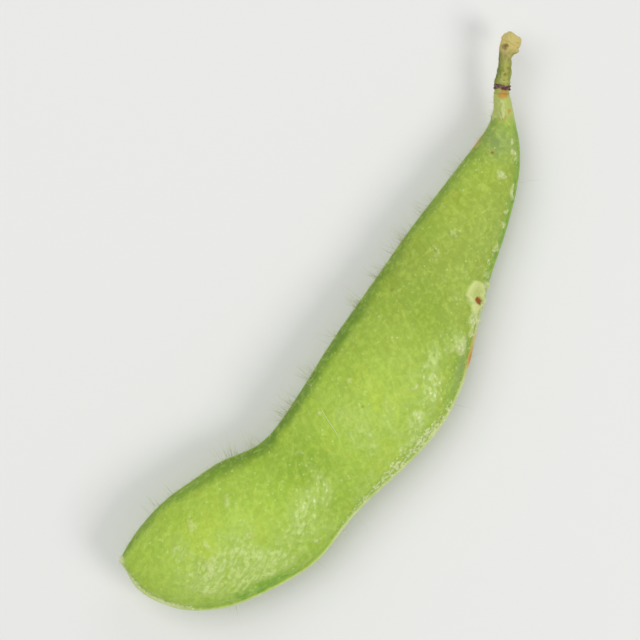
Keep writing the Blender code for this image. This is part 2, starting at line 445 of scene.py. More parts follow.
def markMasks(facts, ragged):  # crusts, scab, brown specks and burnt edges
    x, y = facts["planeX"], facts["planeY"]
    upper = facts["up"] > 0
    warpX = x + 0.22 * patchNoise(x, y, 0.55, 3) + 0.10 * patchNoise(x, y, 0.25, 4)
    warpY = y + 0.22 * patchNoise(x, y, 0.55, 5) + 0.10 * patchNoise(x, y, 0.25, 6)
    otherX = skinZones["hiddenShift"] - warpX
    otherY = warpY * 0.8 - 1.5
    facts["pale"] = np.where(upper, marksOver(warpX, warpY, paleMarks),
                             0.7 * marksOver(otherX, otherY, paleMarks[5:20]))
    nearX, nearY = (x + warpX) / 2, (y + warpY) / 2
    body = marksOver(nearX, nearY, scabMarks, 1.22, 0.78)
    core = marksOver(nearX, nearY, scabHollows, 1.9, 0.1)
    facts["scab"] = np.where(upper, body - core, 0)
    facts["brown"] = np.where(upper, marksOver(x, y, brownMarks),
                              marksOver(otherX, otherY, brownMarks))
    burnt = swelling(x, "burntOuter") * smoothStep(0.62, 0.20, facts["fromOuter"])
    burnt = burnt + swelling(x, "burntInner") * smoothStep(0.60, 0.25, facts["fromInner"])
    orange = np.where(upper, marksOver(x, y, orangeMarks), 0)
    facts["orange"] = np.clip(orange + burnt * (0.35 + 1.1 * ragged), 0, 1)


def frostAndSheenMasks(facts, drift):  # the loose whitish skin, partly painted sheen, and the painted glints on its brightest wrinkles
    x, y = facts["planeX"], facts["planeY"]
    frostAndSheen = marksOver(x + 1.1 * patchNoise(x, y, 2.4, 11), y + 1.1 * patchNoise(x, y, 2.4, 12),
                      frostAndSheenAreas, 2.2, 0.1)
    outerHalf = smoothStep(2.5, -3.0, facts["across"])
    frostAndSheen = frostAndSheen + 0.14 * outerHalf + 0.08 * smoothStep(-0.3, 0.7, drift)
    frostAndSheen = frostAndSheen * (0.92 + 0.22 * drift)
    facts["frostAndSheen"] = np.clip(frostAndSheen, 0, 1) * smoothStep(0.25, 1.0, facts["fromOuter"])
    # painted glints of light on the brightest wrinkles
    facts["paintedGlints"] = np.clip(patched(x, y, "paintedGlints") + 0.20 * smoothStep(0.1, 0.9, drift), 0, 1)
    facts["steep"] = ramp(x, "steeper")  # where the wrinkles stand steeper


def seamMasks(facts, ragged):  # the pale cord of the outer seam and the crusts beside it, and a pale hem of painted light along the inner seam
    x, y, edge = facts["planeX"], facts["planeY"], facts["edgeOuter"]
    beakEnd = ramp(x, "beakEnd")
    cordReach = (0.50 + 0.06 * ragged) * (1 - 0.30 * ramp(x, "cordThins"))
    cord = smoothStep(cordReach, cordReach * 0.45, facts["fromOuter"])
    cord = cord * (1 - 0.85 * ramp(x, "cordFades"))
    # painted light caught by the short hairs along the inner seam
    paintedHairLight = smoothStep(0.30, 0.08, facts["fromInner"]) * (0.35 + 0.35 * ragged)
    rim = np.maximum(cord, paintedHairLight) * (0.62 + 0.38 * ragged)
    facts["left"] = smoothStep(-10, -6.5, y) * beakEnd
    leftLine = smoothStep(0.52, 0.28, facts["fromOuter"] - 0.20 * ragged) * facts["left"]
    blunt = bell(x, 0.10, 0.42) * bell(y, 0.25, 0.40)
    facts["rim"] = np.clip(np.maximum(rim, (0.75 + 0.35 * ragged) * leftLine) + 1.5 * blunt, 0, 1)
    crustWidth = 0.12 + swelling(x, "crustWide") + 0.35 * ragged
    crustWidth = crustWidth + 0.25 * bell(y, -3.0, 5.0) * beakEnd
    crust = smoothStep(crustWidth, crustWidth * 0.45, edge) * (0.55 + 0.45 * ragged)
    crust = crust * np.clip(0.08 + swelling(x, "crustStrong"), 0, 1)
    crust = crust * (1 - 0.6 * ramp(x, "crustFades"))
    crumbs = 0.55 * bell(edge, 0.62, 0.38) * ramp(x, "crumbsStart") * ramp(x, "crumbsEnd")
    crumbs = crumbs * smoothStep(-0.4, 0.5, patchNoise(facts["arc"], edge, 1.1, 16))
    facts["crust"] = np.clip(crust + blunt + crumbs, 0, 1)


def bandMasks(facts, drift):  # darker bands along both seams, partly their own darker green and partly painted shade, and the broad changes of green
    x, y, edge = facts["planeX"], facts["planeY"], facts["edgeOuter"]
    clumps = 0.5 + 0.35 * patchNoise(facts["arc"], edge, 0.75, 14)
    clumps = clumps + 0.25 * patchNoise(facts["arc"], edge, 0.35, 15)
    innerWidth = 0.32 + swelling(x, "marginWide") + 0.25 * drift + 0.3 * (clumps - 0.5)
    innerBand = smoothStep(innerWidth + 0.9, innerWidth * 0.4, facts["edgeInner"])
    # the dark band inside the outer seam: partly its own green, partly painted shade
    outerBand = smoothStep(0.04, 0.16, edge) * smoothStep(2.55, 1.35, edge + 1.25 * clumps)
    outerBand = outerBand * (swelling(x, "outerDark") + swelling(x, "outerClumped") * (0.30 + clumps))
    # painted shade of the lifted underside along the outer seam towards the neck
    undersideShade = ramp(x, "undersideShade") * smoothStep(0.95, 0.25, edge + 0.2 * clumps)
    outerBand = outerBand + 0.80 * undersideShade
    strength = 0.92 - 0.17 * ramp(x, "marginPalesLeft") - 0.24 * ramp(x, "marginPalesRight")
    # the inner margin: partly its own darker green, partly painted shade
    facts["margin"] = np.clip(strength * innerBand + 0.18 * outerBand, 0, 1)
    facts["deepGreenAndShade"] = np.clip(outerBand, 0, 1)
    facts["frostAndSheen"] = facts["frostAndSheen"] * (1 - 0.85 * facts["deepGreenAndShade"])
    facts["neck"] = ramp(x + 0.55 * (y + 0.4) + 0.4 * drift, "neck")
    facts["dull"] = np.clip(bell(x, 58.4, 1.9) * bell(y, -2.3, 1.9)
                            + 0.85 * bell(x, 37.9, 2.2) * bell(edge, 0.75, 0.5), 0, 1)
    # lighter over the beans' swells, partly their own tone and partly painted highlight, with painted light
    # over the beak
    facts["swellToneAndHighlight"] = facts["swell"] + 0.5 * ramp(x, "beakHighlight")
    upperNeck = smoothStep(-5.5, -2.5, y) * ramp(x, "upperNeck")
    facts["olive"] = ramp(x, "olive") * (1 - 0.40 * upperNeck)
    # painted shade in the valleys between the beans, which the dents also sink
    facts["valley"] = np.clip(patched(x, y, "valleys"), 0, 1)


def finishMasks(facts):  # what colour and relief need, worked out over the hull
    ragged = 0.5 + 0.5 * patchNoise(facts["arc"], facts["planeY"] * 0 + 3, 0.7, 9)
    drift = patchNoise(facts["planeX"], facts["planeY"], 1.9, 8)
    markMasks(facts, ragged)
    frostAndSheenMasks(facts, drift)
    seamMasks(facts, ragged)
    bandMasks(facts, drift)
    return facts


def reliefOf(facts):  # the deliberate relief, in mm
    x = facts["planeX"]
    strong = 1 - 0.45 * smoothStep(40, 52, x)
    ends = smoothStep(0.0, 1.4, facts["arc"]) * smoothStep(61.5, 59.5, x)
    rim = hull["rimHeight"] * (1 + 0.35 * facts["left"])
    rim = rim * np.exp(-(facts["fromOuter"] / hull["rimReach"]) ** 2)
    crease = hull["creaseDepth"] * bell(facts["fromOuter"], 0.70, 0.34)
    innerRim = hull["innerRimHeight"] * np.exp(-(facts["fromInner"] / 0.2) ** 2)
    innerCrease = 0.05 * bell(facts["fromInner"], 0.55, 0.3)
    crusts = 0.18 * facts["pale"] + 0.08 * facts["crust"] + 0.22 * facts["scab"]
    crusts = (crusts - 0.08 * facts["brown"]) * smoothStep(0.3, 1.2, facts["arc"])
    neckEnd = facts["arc"].max()
    dents = -0.45 * facts["valley"] - 0.09 * smoothStep(neckEnd - 0.7, neckEnd, facts["arc"])
    bumps = 0.10 * patchNoise(facts["arc"], facts["across"] + 40 * facts["up"], 2.6, 21)
    bumps = bumps * smoothStep(0.6, 2.5, np.minimum(facts["fromInner"], facts["fromOuter"]))
    return strong * ends * (rim - crease) + ends * (innerRim - innerCrease) + crusts + dents + bumps


def skinMesh():
    points, facts = skinSurface()
    facts = finishMasks(facts)
    points = points + rowNormals(points) * reliefOf(facts)[..., None]
    tip = points[0].mean(0) + np.array((-1.0, 0.35, 0.1)) * hull["beakLength"]
    neckWay = points[-1].mean(0) - points[-4].mean(0)
    neckEnd = points[-1].mean(0) + neckWay / np.linalg.norm(neckWay) * 0.25
    mesh = meshFromRows("hullRows", points, tip, neckEnd)
    for name, values in facts.items():
        storeRows(mesh, name, values, values[0, 0], values[-1, 0])
    return mesh


def placeInFrame(mesh):  # mm in the hull's plane to metres in the frame
    corners = cornersOf(mesh) * mm
    corners[:, :2] += planeCorner
    mesh.vertices.foreach_set("co", corners.ravel())
    offTable(mesh)


def offTable(mesh):  # keeps what lies lowest on the surface below it
    corners = cornersOf(mesh)
    corners[:, 2] = corners[:, 2].clip(0)
    mesh.vertices.foreach_set("co", corners.ravel())
    mesh.update()
    return mesh


plainHull = skinSurface()[0].reshape(-1, 3)
planeCorner = np.array(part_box("pod")[0][:2]) - plainHull[:, :2].min(0) * mm
hullMesh = skinMesh()
facesOut(hullMesh)
placeInFrame(hullMesh)
print("hull skin:", len(hullMesh.vertices), "points")


# Geometry trees: named inputs, a fixed seed, and a plain mesh at the end.
def newTree(name, inputs):
    tree = bpy.data.node_groups.new(name, "GeometryNodeTree")
    tree.interface.new_socket("Geometry", in_out="INPUT", socket_type="NodeSocketGeometry")
    for label, kind in inputs:
        tree.interface.new_socket(label, in_out="INPUT", socket_type="NodeSocket" + kind)
    tree.interface.new_socket("Geometry", in_out="OUTPUT", socket_type="NodeSocketGeometry")
    return tree, tree.nodes.new("NodeGroupInput").outputs


def endTree(tree, geometry, material):
    real = addNode(tree, "GeometryNodeRealizeInstances", {0: geometry})
    painted = addNode(tree, "GeometryNodeSetMaterial",
                      {"Geometry": real.outputs[0], "Material": material})
    addNode(tree, "NodeGroupOutput", {0: painted.outputs[0]})


def readValue(tree, name):
    return addNode(tree, "GeometryNodeInputNamedAttribute", {"Name": name}, data_type="FLOAT").outputs[0]


def grown(name, mesh, tree, values):  # runs a tree over a mesh and keeps the result
    carrier = bpy.data.objects.new(name, mesh)
    bpy.context.scene.collection.objects.link(carrier)
    modifier = carrier.modifiers.new(tree.name, "NODES")
    modifier.node_group = tree
    for item in tree.interface.items_tree:
        if item.name in values:
            modifier[item.identifier] = values[item.name]
    graph = bpy.context.evaluated_depsgraph_get()
    result = bpy.data.meshes.new_from_object(carrier.evaluated_get(graph))
    bpy.data.objects.remove(carrier)
    result.name = name
    return result


# Fine relief of the skin: slanting wrinkles where it is loose, and pebbles all over.
wrinkles = {
    "Wrinkle Height": 0.070 * mm,
    "Wrinkle Width": 0.55,      # mm
    "Wrinkle Length": 1.3,      # mm
    "Flat Slant": math.radians(45),   # on the beak's bean, from the pod's length
    "Steep Slant": math.radians(64),  # on the other two
    "Pebble Height": 0.020 * mm,
    "Pebble Size": 0.50,        # mm
    "Seed": 3.7,
}


def streakField(tree, arc, across, slant, width, length, seed):  # works in both kinds of tree
    cosine, sine = calc(tree, "COSINE", slant), calc(tree, "SINE", slant)
    along = calc(tree, "MULTIPLY_ADD", arc, cosine, calc(tree, "MULTIPLY", across, sine))
    over = calc(tree, "SUBTRACT", calc(tree, "MULTIPLY", across, cosine),
                calc(tree, "MULTIPLY", arc, sine))
    place = combine(tree, calc(tree, "DIVIDE", along, length), calc(tree, "DIVIDE", over, width), seed)
    return noise(tree, place, 1.0, detail=3.5, roughness=0.62, distortion=0.6)


def blend(tree, share, first, second):
    return calc(tree, "MULTIPLY_ADD", calc(tree, "SUBTRACT", second, first), share, first)


def slantedStreaks(tree, arc, across, steepness, slants, width, length, seed):
    flat, steep = (streakField(tree, arc, across, slants[name], width, length, seed)
                   for name in ("Flat Slant", "Steep Slant"))
    return blend(tree, steepness, flat, steep)


def wrinkleTree():
    tree, given = newTree("skinWrinkles", [(name, "Float") for name in wrinkles]
                          + [("Material", "Material")])
    arc, across = readValue(tree, "arc"), readValue(tree, "across")
    side = calc(tree, "MULTIPLY_ADD", readValue(tree, "up"), 9.0, given["Seed"])
    streak = slantedStreaks(tree, arc, across, readValue(tree, "steep"), given,
                            given["Wrinkle Width"], given["Wrinkle Length"], side)
    pebble = noise(tree, combine(tree, calc(tree, "DIVIDE", arc, given["Pebble Size"]),
                                 calc(tree, "DIVIDE", across, given["Pebble Size"]), side),
                   1.0, detail=2.0)
    ridge = remap(tree, streak, 0.38, 0.66)
    loose = remap(tree, readValue(tree, "frostAndSheen"), 0.0, 0.8, 0.14, 1.0)
    height = calc(tree, "MULTIPLY", calc(tree, "MULTIPLY", ridge, loose), given["Wrinkle Height"])
    grain = calc(tree, "MULTIPLY", calc(tree, "SUBTRACT", pebble, 0.5), given["Pebble Height"])
    edge = calc(tree, "MINIMUM", readValue(tree, "fromInner"), readValue(tree, "fromOuter"))
    fade = remap(tree, edge, 0.10, 0.95)
    lift = calc(tree, "MULTIPLY", calc(tree, "MULTIPLY_ADD", grain, 2.0, height), fade)
    normal = addNode(tree, "GeometryNodeInputNormal").outputs[0]
    kept = addNode(tree, "GeometryNodeStoreNamedAttribute", {
        "Geometry": given["Geometry"], "Name": "ridge", "Value": calc(tree, "MULTIPLY", ridge, fade),
    }, data_type="FLOAT", domain="POINT")
    moved = addNode(tree, "GeometryNodeSetPosition",
                    {"Geometry": kept.outputs[0], "Offset": scaled(tree, normal, lift)})
    endTree(tree, moved.outputs[0], given["Material"])
    return tree


# Shader groups shared by the finishes. They give masks and normals only.
def newGroup(name, inputs, outputs):
    group = bpy.data.node_groups.new(name, "ShaderNodeTree")
    for label, value in inputs:
        socket = group.interface.new_socket(label, in_out="INPUT", socket_type="NodeSocketFloat")
        socket.default_value = value
    for label, kind in outputs:
        group.interface.new_socket(label, in_out="OUTPUT", socket_type="NodeSocket" + kind)
    return group, group.nodes.new("NodeGroupInput").outputs, group.nodes.new("NodeGroupOutput").inputs


def inMillimetres(tree):
    return scaled(tree, addNode(tree, "ShaderNodeTexCoord").outputs["Object"], 1 / mm)


def tissueGroup():
    group, given, out = newGroup(
        "plantTissue",
        [("Blotch Size", 3.0), ("Grain Size", 0.22), ("Grain Depth", 0.02)],
        [("Blotch", "Float"), ("Grain", "Float"), ("Cells", "Float"), ("Normal", "Vector")])
    place = inMillimetres(group)
    blotch = noise(group, place, calc(group, "DIVIDE", 1.0, given["Blotch Size"]), detail=4)
    fineness = calc(group, "DIVIDE", 1.0, given["Grain Size"])
    grain = noise(group, place, fineness, detail=3)
    apart = cells(group, place, fineness, feature="SMOOTH_F1").outputs["Distance"]
    height = calc(group, "SUBTRACT", grain, calc(group, "MULTIPLY", apart, 0.6))
    normal = bumped(group, calc(group, "MULTIPLY", height, given["Grain Depth"]))
    for label, source in (("Blotch", blotch), ("Grain", grain), ("Cells", apart), ("Normal", normal)):
        feed(group, out[label], source)
    return group


def newFinish(name, **constants):
    material = bpy.data.materials.new(name)
    material.use_nodes = True
    shader = material.node_tree.nodes["Principled BSDF"]
    for label, value in constants.items():
        shader.inputs[label.replace("_", " ")].default_value = value
    return material, material.node_tree, shader


def useGroup(tree, group, **values):
    given = {label.replace("_", " "): value for label, value in values.items()}
    return addNode(tree, "ShaderNodeGroup", given, node_tree=group).outputs


def meshValue(tree, name):
    return addNode(tree, "ShaderNodeAttribute", attribute_name=name).outputs["Fac"]


def masked(tree, name, share):
    return calc(tree, "MULTIPLY", meshValue(tree, name), share)


tissue = tissueGroup()

skinColours = {
    "bright": (0.432, 0.612, 0.080),
    "flesh": (0.384, 0.568, 0.060),
    "yellow": (0.500, 0.630, 0.055),
    "tinge": (0.430, 0.480, 0.050),
    "curd": (0.545, 0.710, 0.125),
    "olive": (0.290, 0.345, 0.050),
    # the valleys' darker green, also painted as shade in the wrinkles' creases and between the crust's
    # grains
    "valley": (0.245, 0.400, 0.025),
    # the seams' darker green, also painted as their shade
    "margin": (0.105, 0.220, 0.014),
    "dull": (0.270, 0.365, 0.105),
    # the outer band's darker green, partly painted shade
    "deepGreenAndShade": (0.150, 0.370, 0.015),
    # pale haze over the loose skin: partly its own colour, partly painted sheen
    "soft": (0.500, 0.650, 0.180),
    # whitish loose skin: partly its own colour, partly painted sheen on the wrinkles' crests
    "frostAndSheen": (0.640, 0.765, 0.285),
    # painted highlight
    "paintedGlint": (0.790, 0.870, 0.500),
    "dot": (0.600, 0.745, 0.270),
    "pale": (0.700, 0.760, 0.380),
    "scab": (0.640, 0.710, 0.270),
    "crust": (0.710, 0.775, 0.400),
    "neck": (0.510, 0.560, 0.165),
    "brown": (0.330, 0.100, 0.012),
    "orange": (0.560, 0.270, 0.055),
}
skinFinishSizes = {
    "curd": 1.7,            # lumps to a millimetre, all over
    "curdDepth": 0.085,
    "granule": 0.38,        # mm, the grains of the pale crusts
    "granuleDepth": 0.060,
    "bead": 0.56,           # mm, the granules along each wrinkle
    "beadDepth": 0.042,
    "streakWidth": 0.42,
    "streakLength": 1.05,
    "streakDepth": 0.038,
    "dotSpacing": 0.70,     # mm, the pale bases of the shed hairs
    "dotReach": 0.185,
    "dotDepth": 0.030,
    "rayWidth": 0.85,
    "rayLength": 2.9,
    "veinSlant": math.radians(80),
    "veinWidth": 0.40,
    "veinLength": 7.0,
    "roughness": (0.36, 0.56),
}


def granuleField(tree, place, size):  # uneven grains, each with a strength of its own
    wander = addNode(tree, "ShaderNodeTexNoise", {"Vector": place, "Scale": 1.4 / size})
    uneven = addNode(tree, "ShaderNodeVectorMath",
                     {0: wander.outputs["Color"], 1: (0.34, 0.34, 0.34), 2: place},
                     operation="MULTIPLY_ADD")
    grains = cells(tree, uneven.outputs[0], 1 / size).outputs
    return calc(tree, "MULTIPLY", remap(tree, grains["Distance"], 0.78, 0.18),
                remap(tree, grains["Color"], 0.2, 0.7, 0.72, 1.0))


def skinFields(tree, place):  # the patterns that colour and bump share
    sizes = skinFinishSizes
    arc, across, steepness = (meshValue(tree, name) for name in ("arc", "across", "steep"))
    side = masked(tree, "up", 7.0)
    streak, rays = (slantedStreaks(tree, arc, across, steepness, wrinkles,
                                   sizes[name + "Width"], sizes[name + "Length"], side)
                    for name in ("streak", "ray"))
    beads = cells(tree, place, 1 / sizes["bead"], feature="SMOOTH_F1")
    feed(tree, beads.inputs["Smoothness"], 0.35)
    dots = cells(tree, place, 1 / sizes["dotSpacing"]).outputs["Distance"]
    reach = sizes["dotReach"] / sizes["dotSpacing"]
    dotClusters = remap(tree, noise(tree, place, 0.33, detail=2), 0.40, 0.62, 0.15, 0.75)
    return {
        "streak": remap(tree, streak, 0.34, 0.72),
        "bead": remap(tree, beads.outputs["Distance"], 0.62, 0.12),
        "granule": granuleField(tree, place, sizes["granule"]),
        "dot": calc(tree, "MULTIPLY", remap(tree, dots, reach, reach * 0.1), dotClusters),
        "curd": noise(tree, place, sizes["curd"], detail=3, distortion=0.5),
        "rays": rays,
        "veins": streakField(tree, arc, across, sizes["veinSlant"], sizes["veinWidth"],
                             sizes["veinLength"], side),
    }


def greenLayers(tree, place, uneven, fields):  # the living skin, before its whitish patches
    margin = calc(tree, "MULTIPLY_ADD", uneven, 0.6, meshValue(tree, "margin"))
    outerHalf = calc(tree, "MULTIPLY", remap(tree, meshValue(tree, "across"), 4.5, 1.5, 0.25, 1.0),
                     remap(tree, meshValue(tree, "olive"), 0.3, 1.0, 1.0, 0.45))
    rays, curd = fields["rays"], fields["curd"]
    return [
        (remap(tree, noise(tree, place, 0.21), 0.46, 0.70, 0, 0.5), "yellow"),
        (remap(tree, noise(tree, place, 0.75, detail=2), 0.52, 0.74, 0, 0.30), "tinge"),
        (masked(tree, "olive", 0.60), "olive"),
        # painted shade in the valleys between the beans
        (masked(tree, "valley", 0.68), "valley"),
        (remap(tree, fields["veins"], 0.42, 0.70, 0, 0.12), "margin"),
        # the inner margin's darker green with its painted shade
        (remap(tree, margin, 0.05, 1.10, 0, 0.90), "margin"),
        # the outer band: partly its own green, partly painted shade
        (masked(tree, "deepGreenAndShade", 0.85), "deepGreenAndShade"),
        (meshValue(tree, "dull"), "dull"),
        (calc(tree, "MULTIPLY", remap(tree, rays, 0.50, 0.72, 0, 0.50), outerHalf), "curd"),
        (calc(tree, "MULTIPLY", remap(tree, rays, 0.46, 0.28, 0, 0.22), outerHalf), "valley"),
        (remap(tree, curd, 0.60, 0.30, 0, 0.15), "margin"),
        (calc(tree, "MULTIPLY", remap(tree, curd, 0.48, 0.72, 0, 0.46),
              remap(tree, meshValue(tree, "frostAndSheen"), 0.0, 0.3, 0.65, 1.0)), "curd"),
    ]


def frostAndSheenLayers(tree, place, frostAndSheen, pattern, dot):  # the whitish patches with their painted sheen, glints and crease shade, and the shed hairs' bases
    where = meshValue(tree, "frostAndSheen")
    lumps = noise(tree, place, 1.15, detail=2)
    # painted glints where the light catches the wrinkles' crests
    paintedGlints = calc(tree, "MULTIPLY", frostAndSheen, meshValue(tree, "paintedGlints"))
    return [
        (calc(tree, "MULTIPLY", where, remap(tree, lumps, 0.34, 0.62, 0.36, 0.92)), "soft"),
        # painted shade in the creases between the whitish wrinkles
        (calc(tree, "MULTIPLY", where, remap(tree, pattern, 0.48, 0.20, 0, 0.26)), "valley"),
        (calc(tree, "MULTIPLY", frostAndSheen, 0.82), "frostAndSheen"),
        (calc(tree, "MULTIPLY", paintedGlints, remap(tree, pattern, 0.60, 0.80)), "paintedGlint"),
        (dot, "dot"),
    ]


def markLayers(tree, place, granule):  # crusts, seam cord, neck, scab and specks, with painted shade between the crust's grains
    where = meshValue(tree, "crust")
    broken = noise(tree, place, 1.9, detail=2)
    grains = calc(tree, "MULTIPLY_ADD", granule, 0.55, calc(tree, "MULTIPLY", broken, 0.45))
    crust = remap(tree, calc(tree, "MULTIPLY_ADD", where, 0.68, grains), 0.76, 1.20)
    crust = calc(tree, "MULTIPLY", crust, remap(tree, where, 0.02, 0.20, 0, 0.88))
    shadeBetweenGrains = calc(tree, "SUBTRACT", 1.0, crust)
    beaded = calc(tree, "MULTIPLY_ADD", granule, 0.25, 0.72)
    crumbled = calc(tree, "MULTIPLY_ADD", granule, 0.62, 0.40)
    return [
        # painted shade between the crust's grains
        (calc(tree, "MULTIPLY", remap(tree, where, 0.05, 0.5, 0, 0.35), shadeBetweenGrains), "valley"),
        (calc(tree, "MAXIMUM", masked(tree, "rim", beaded), crust), "crust"),
        (masked(tree, "neck", 0.8), "neck"),
        (masked(tree, "pale", crumbled), "pale"),
        (masked(tree, "scab", 0.95), "scab"),
        (meshValue(tree, "orange"), "orange"),
        (meshValue(tree, "brown"), "brown"),
    ]


def skinBump(tree, fields, under):
    sizes = skinFinishSizes
    height = calc(tree, "MULTIPLY_ADD", fields["streak"], sizes["streakDepth"],
                  calc(tree, "MULTIPLY", fields["bead"], sizes["beadDepth"]))
    loose = remap(tree, meshValue(tree, "frostAndSheen"), 0.0, 0.7, 0.30, 1.0)
    crusts = calc(tree, "MAXIMUM", meshValue(tree, "crust"), meshValue(tree, "pale"))
    gritty = calc(tree, "MULTIPLY", crusts,
                  calc(tree, "MULTIPLY", fields["granule"], sizes["granuleDepth"]))
    height = calc(tree, "MULTIPLY_ADD", height, loose, gritty)
    height = calc(tree, "MULTIPLY_ADD", fields["dot"], sizes["dotDepth"], height)
    return bumped(tree, calc(tree, "MULTIPLY_ADD", fields["curd"], sizes["curdDepth"], height), under)


def skinFinish():
    material, tree, shader = newFinish(
        "podSkinFinish", Subsurface_Weight=0.14, Subsurface_Scale=0.0006,
        Subsurface_Radius=(0.9, 1.0, 0.35), IOR=1.42, Specular_IOR_Level=0.28)
    parts = useGroup(tree, tissue, Blotch_Size=2.6, Grain_Size=0.20, Grain_Depth=0.030)
    place = inMillimetres(tree)
    fields = skinFields(tree, place)
    uneven = calc(tree, "SUBTRACT", parts["Blotch"], 0.5)
    swellToneAndHighlight = calc(tree, "MULTIPLY_ADD", uneven, 1.5, meshValue(tree, "swellToneAndHighlight"))
    # the wrinkles' crests are painted paler: partly the loose skin's own whitish colour, partly painted
    # sheen
    pattern = calc(tree, "MULTIPLY_ADD", fields["streak"], 0.46,
                   calc(tree, "MULTIPLY", fields["bead"], 0.30))
    pattern = calc(tree, "MULTIPLY_ADD", meshValue(tree, "ridge"), 0.24, pattern)
    start = remap(tree, meshValue(tree, "frostAndSheen"), 0.05, 0.95, 0.72, 0.10)
    frostAndSheen = remap(tree, pattern, start, calc(tree, "ADD", start, 0.72))
    # paler over the swells: partly their own tone, partly painted highlight
    colour = mixColours(tree, remap(tree, swellToneAndHighlight, 0.10, 1.05), skinColours["flesh"], skinColours["bright"])
    colour = layered(tree, colour, greenLayers(tree, place, uneven, fields)
                     + frostAndSheenLayers(tree, place, frostAndSheen, pattern, fields["dot"])
                     + markLayers(tree, place, fields["granule"]), skinColours)
    dry = calc(tree, "SUBTRACT", parts["Grain"], calc(tree, "MULTIPLY", frostAndSheen, 0.3))
    feed(tree, shader.inputs["Base Color"], colour)
    feed(tree, shader.inputs["Roughness"], remap(tree, dry, 0.1, 0.7, *skinFinishSizes["roughness"]))
    feed(tree, shader.inputs["Normal"], skinBump(tree, fields, parts["Normal"]))
    return material


skinMaterial = skinFinish()
reliefMesh = grown("podSkin", hullMesh, wrinkleTree(), {**wrinkles, "Material": skinMaterial})
podSkin = pieceFromMesh(offTable(reliefMesh))
print("skin wrinkled:", len(reliefMesh.polygons), "faces")


# The stalk stub and the scar ring are swept along one line, in mm in the hull's plane.
stalk = {
    "line": [  # point, then width as a share of the radius
        ((63.19, 1.13, 3.56), 1.22), ((63.85, 1.58, 3.62), 1.08), ((64.55, 1.98, 3.70), 1.02),
        ((65.20, 2.45, 3.80), 0.96), ((65.85, 2.93, 3.90), 0.98), ((66.60, 3.22, 4.00), 1.32),
        ((67.35, 3.40, 4.08), 1.50), ((67.95, 3.48, 4.14), 1.22),
    ],
    "radius": 0.72,
    "ribs": 7,
    "ribDepth": 0.05,
    "rows": 110,
    "around": 72,
    "cutFace": [  # share of the last ring, and how far it stands out in mm
        (0.97, 0.08), (0.90, 0.16), (0.80, 0.22), (0.64, 0.25), (0.42, 0.22), (0.20, 0.20)],
    "spotStretch": (5.4, 0.75),  # mm to the stub's length, and to a radian round it
}
scarRing = {
    "radius": 0.93,
    "length": 1.30,       # it runs under the stalk and the neck at its two ends
    "rows": 40,
    "around": 96,
}


def frameAlong(line):  # two unit vectors across the line at each of its points
    heading = np.gradient(line, axis=0)
    heading /= np.linalg.norm(heading, axis=1, keepdims=True)
    sideways = np.cross(heading, (0, 0, 1.0))
    sideways /= np.linalg.norm(sideways, axis=1, keepdims=True)
    return heading, sideways, np.cross(sideways, heading)


def lineAt(wanted):
    places = np.arange(len(stalk["line"]))
    points = np.stack([smoothThrough(places, [point[k] for point, _ in stalk["line"]], wanted)
                       for k in range(3)], -1)
    widths = smoothThrough(places, [width for _, width in stalk["line"]], wanted)
    return points, widths * stalk["radius"]


def sweptRows(line, radii, angle):
    heading, sideways, upward = frameAlong(line)
    ring = np.cos(angle)[None, :, None] * sideways[:, None] + np.sin(angle)[None, :, None] * upward[:, None]
    return line[:, None] + ring * radii[..., None]


def knobShare(along):
    return smoothStep(0.66, 0.80, along)


def stalkRadii(radii, length, angle):  # ribs, rough skin, grooves at the knob, a nub and a bulge
    knob = knobShare(length)
    ribs = np.abs(np.cos(angle * stalk["ribs"] / 2 + 1.3 * length)) ** 0.7 - 0.6
    turnX, turnY = np.cos(angle[None]) * 1.6 + 6, np.sin(angle[None]) * 1.6 + length * 9
    rough = 0.07 * patchNoise(turnX, turnY, 0.75, 31) + 0.03 * patchNoise(turnX, turnY, 0.3, 32)
    wander = length + 0.012 * patchNoise(turnX, turnY * 0, 0.9, 34)
    groove = -0.09 * bell(wander, 0.80, 0.014) - 0.035 * bell(wander, 0.88, 0.012)
    nub = 0.16 * bell(length, 0.05, 0.05) * bell(angle[None], 2.6, 0.5)
    bulge = sum(0.20 * bell(length, 0.715, 0.05) * bell(angle[None], middle, 0.9)
                for middle in (0.3, 2 * math.pi + 0.3))
    swollen = radii[:, None] * (1 + groove) + ribs * stalk["ribDepth"] * (1 - knob)
    return swollen + rough * (1 + 0.3 * knob) + nub + bulge


def spotsOver(along, angle):
    spots = np.zeros((len(along), len(angle)))
    alongStretch, turnStretch = stalk["spotStretch"]
    for place, turned, reach, strength in stalkSpots:
        apart = (angle - turned + math.pi) % (2 * math.pi) - math.pi
        gap = ((along[:, None] - place) * alongStretch) ** 2 + (apart * turnStretch) ** 2
        spots = np.maximum(spots, strength * smoothStep(1.5, 0.4, gap / reach**2))
    return spots


